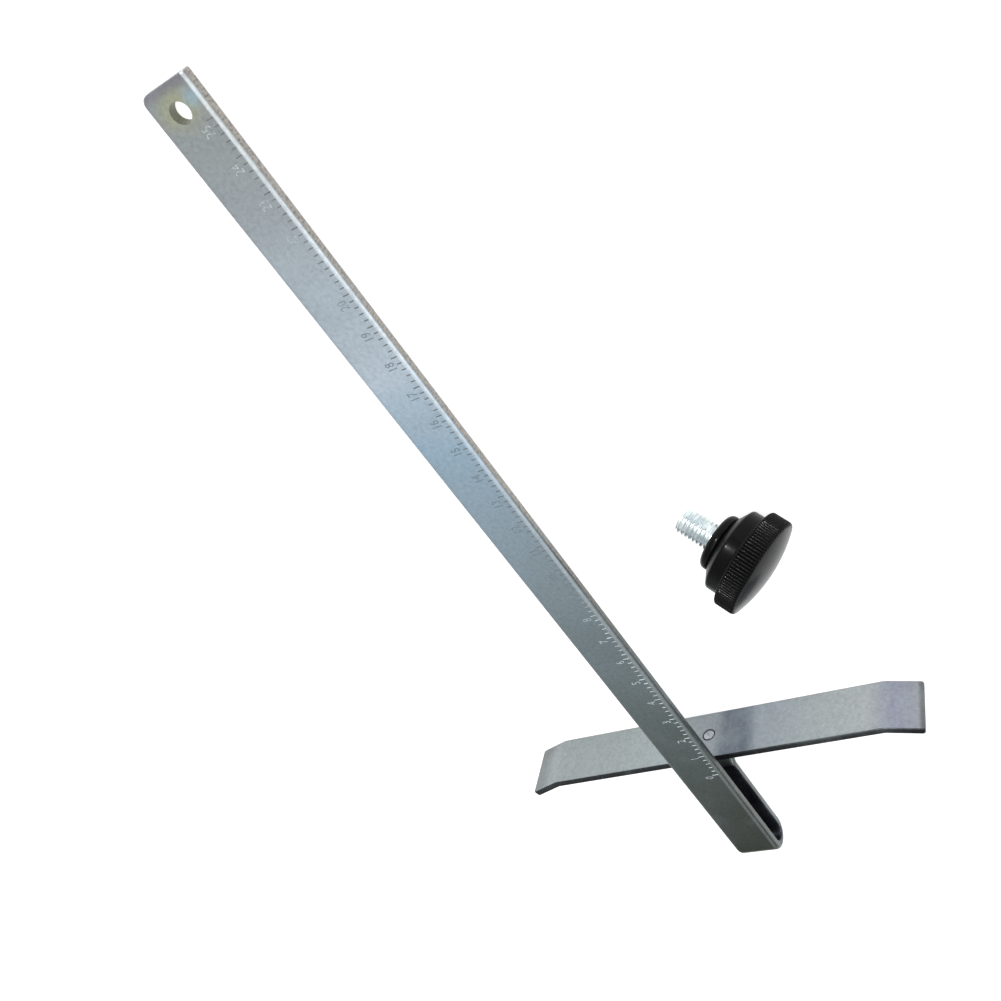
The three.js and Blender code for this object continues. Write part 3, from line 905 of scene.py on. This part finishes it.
def stud_mesh():
    """The thread's rows of points follow its helix, and are cut off flat at both ends."""
    segments = 72
    rows_per_turn = 16
    top = STUD_LENGTH + 1.2 * MM
    end_ring = 0.35                # size of the inner ring in each end face, as a share of its rim
    bm = bmesh.new()
    rows = []
    step = THREAD_PITCH / rows_per_turn
    for k in range(-rows_per_turn, int(top / step) + 2):
        row = []
        for i in range(segments + 1):
            a = 2 * math.pi * i / segments
            z = min(max(k * step + THREAD_PITCH * a / (2 * math.pi), 0.0), top)
            r = thread_radius(z, a)
            row.append(bm.verts.new((r * math.cos(a), r * math.sin(a), z)))
        rows.append(row)
    for a, b in zip(rows, rows[1:]):
        for i in range(segments):
            bm.faces.new((a[i], a[i + 1], b[i + 1], b[i]))
    merge_points(bm)
    for z, dish in ((0.0, 0.25 * MM), (top, 0.0)):
        rim = [v for v in bm.verts if v.is_boundary and abs(v.co.z - z) < MERGE_DISTANCE]
        rim.sort(key=lambda v: math.atan2(v.co.y, v.co.x))
        inner = [bm.verts.new((v.co.x * end_ring, v.co.y * end_ring, v.co.z + dish)) for v in rim]
        for i in range(len(rim)):
            j = (i + 1) % len(rim)
            bm.faces.new((rim[i], rim[j], inner[j], inner[i]))
        bm.faces.new(inner)
    return mesh_from("stud_thread", bm)


def make_stud():
    mesh = stud_mesh()
    mesh.materials.append(stud_material())
    stud = new_object("stud_thread", mesh)
    placed(stud, KNOB, angle=38, body="knob", node="knob_stud")


# ---- stage ----------------------------------------------------------------------------------
def make_floor():
    bm = bmesh.new()
    bmesh.ops.create_circle(bm, cap_ends=True, radius=6.0, segments=96)
    mesh = bpy.data.meshes.new("floor")
    bm.to_mesh(mesh)
    bm.free()
    mesh.materials.append(floor_material())
    new_object("floor", mesh)


def make_world():
    """A soft studio: pale from -X to past the middle, where it is palest, and dark towards +X."""
    world = bpy.data.worlds.new("studio")
    world.use_nodes = True
    tree = world.node_tree
    direction = node(tree, "ShaderNodeTexCoord").outputs["Generated"]
    axes = node(tree, "ShaderNodeSeparateXYZ", {0: direction}).outputs
    share = maths(tree, "MULTIPLY_ADD", axes[0], 0.5, 0.5)
    colour = ramp(tree, share, [
        (0.00, (0.80, 0.80, 0.80)), (0.45, (0.70, 0.71, 0.72)), (0.64, (0.98, 1.00, 1.03)),
        (0.71, (0.90, 0.94, 1.00)), (0.79, (0.42, 0.45, 0.47)), (0.86, (0.16, 0.17, 0.17)),
        (1.00, (0.30, 0.30, 0.30)),
    ])
    background = tree.nodes["Background"]
    tree.links.new(colour, background.inputs["Color"])
    background.inputs["Strength"].default_value = 1.0
    bpy.context.scene.world = world


def make_softbox(name, place, size, power):
    """A round area lamp in a place, aimed at the origin."""
    light = bpy.data.lights.new(name, "AREA")
    light.shape = "DISK"
    light.size = size
    light.energy = power
    lamp = bpy.data.objects.new(name, light)
    lamp.location = place
    lamp.rotation_mode = "QUATERNION"
    lamp.rotation_quaternion = (-Vector(place)).to_track_quat("-Z", "Y")
    bpy.context.scene.collection.objects.link(lamp)


def make_lights():
    """Two large soft lamps, and a small one for the highlights on the knob."""
    make_softbox("key", (-0.9, 0.3, 1.6), size=1.8, power=12)
    make_softbox("fill", (0.2, 1.5, 1.2), size=1.4, power=5)
    make_softbox("spark", (-1.0, 0.16, 0.56), size=0.08, power=6)


def make_camera():
    hole_end = ARM @ Vector((0, 0, -BAR_THICK))
    data = bpy.data.cameras.new("camera")
    data.lens = CAMERA_LENS
    data.sensor_width = CAMERA_SENSOR
    camera = bpy.data.objects.new("camera", data)
    azimuth, elevation = math.radians(CAMERA_AZIMUTH), math.radians(CAMERA_ELEVATION)
    back = Vector((math.cos(elevation) * math.cos(azimuth), math.cos(elevation) * math.sin(azimuth),
                   math.sin(elevation)))
    camera.location = hole_end + CAMERA_FROM_HOLE_END
    camera.rotation_mode = "QUATERNION"
    roll = Quaternion((0, 0, 1), math.radians(CAMERA_ROLL))
    camera.rotation_quaternion = (-back).to_track_quat("-Z", "Y") @ roll
    data.clip_start, data.clip_end = 0.01, 50
    bpy.context.scene.collection.objects.link(camera)
    bpy.context.scene.camera = camera


make_camera()
make_bar()
make_fence()
make_rivet()
make_knob_moulding()
make_stud()
make_floor()
make_world()
make_lights()
bpy.context.scene.view_settings.view_transform = "Standard"
